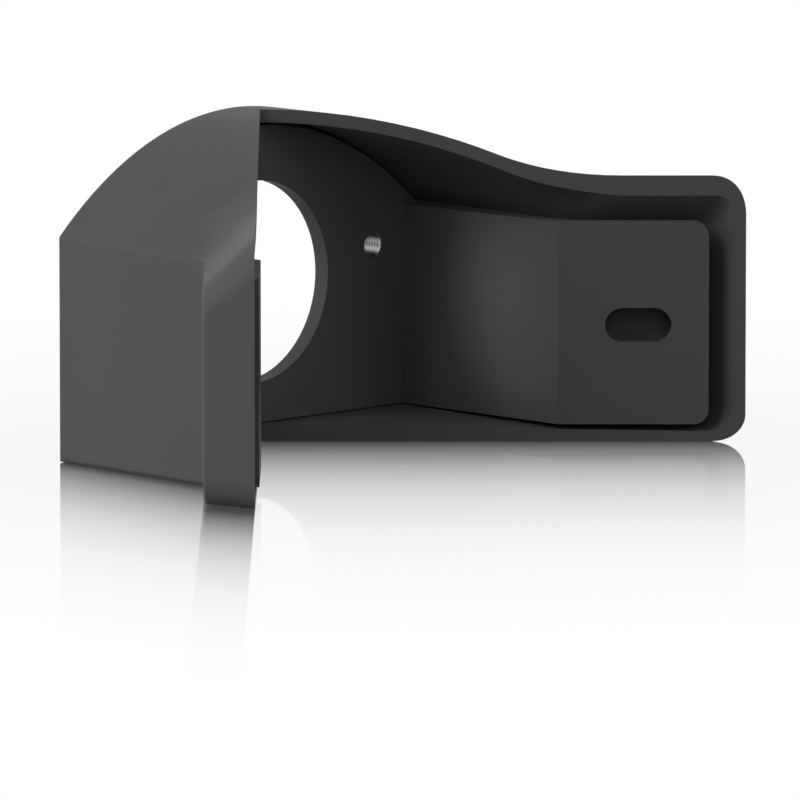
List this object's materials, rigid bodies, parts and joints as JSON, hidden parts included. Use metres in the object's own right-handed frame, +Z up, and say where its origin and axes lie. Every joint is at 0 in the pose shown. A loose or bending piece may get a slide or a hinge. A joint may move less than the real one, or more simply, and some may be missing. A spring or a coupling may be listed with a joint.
{
  "type": "camera corner bracket",
  "caption": "Corner bracket with a hooded cover over a folded, slotted plate that holds a camera on the outside corner of a building.",
  "frame": {"origin": "foot of the building's corner edge, at the level of the bracket's bottom", "axes": "+Z up; one wall is the plane Y = 0 at X > 0, the other is the plane X = 0 at Y < 0; the camera faces along (-1, 1, 0)"},
  "size_m": [0.1363, 0.1363, 0.0668],
  "materials": {
    "cover_shell": "fine matte anthracite",
    "plate_metal": "matte anthracite powder coat",
    "insert_metal": "bright machined"
  },
  "bodies": {
    "root": {"outer_cover": "cover_shell", "mounting_plate": "plate_metal", "left_threaded_insert": "insert_metal", "right_threaded_insert": "insert_metal"}
  },
  "joints": []
}
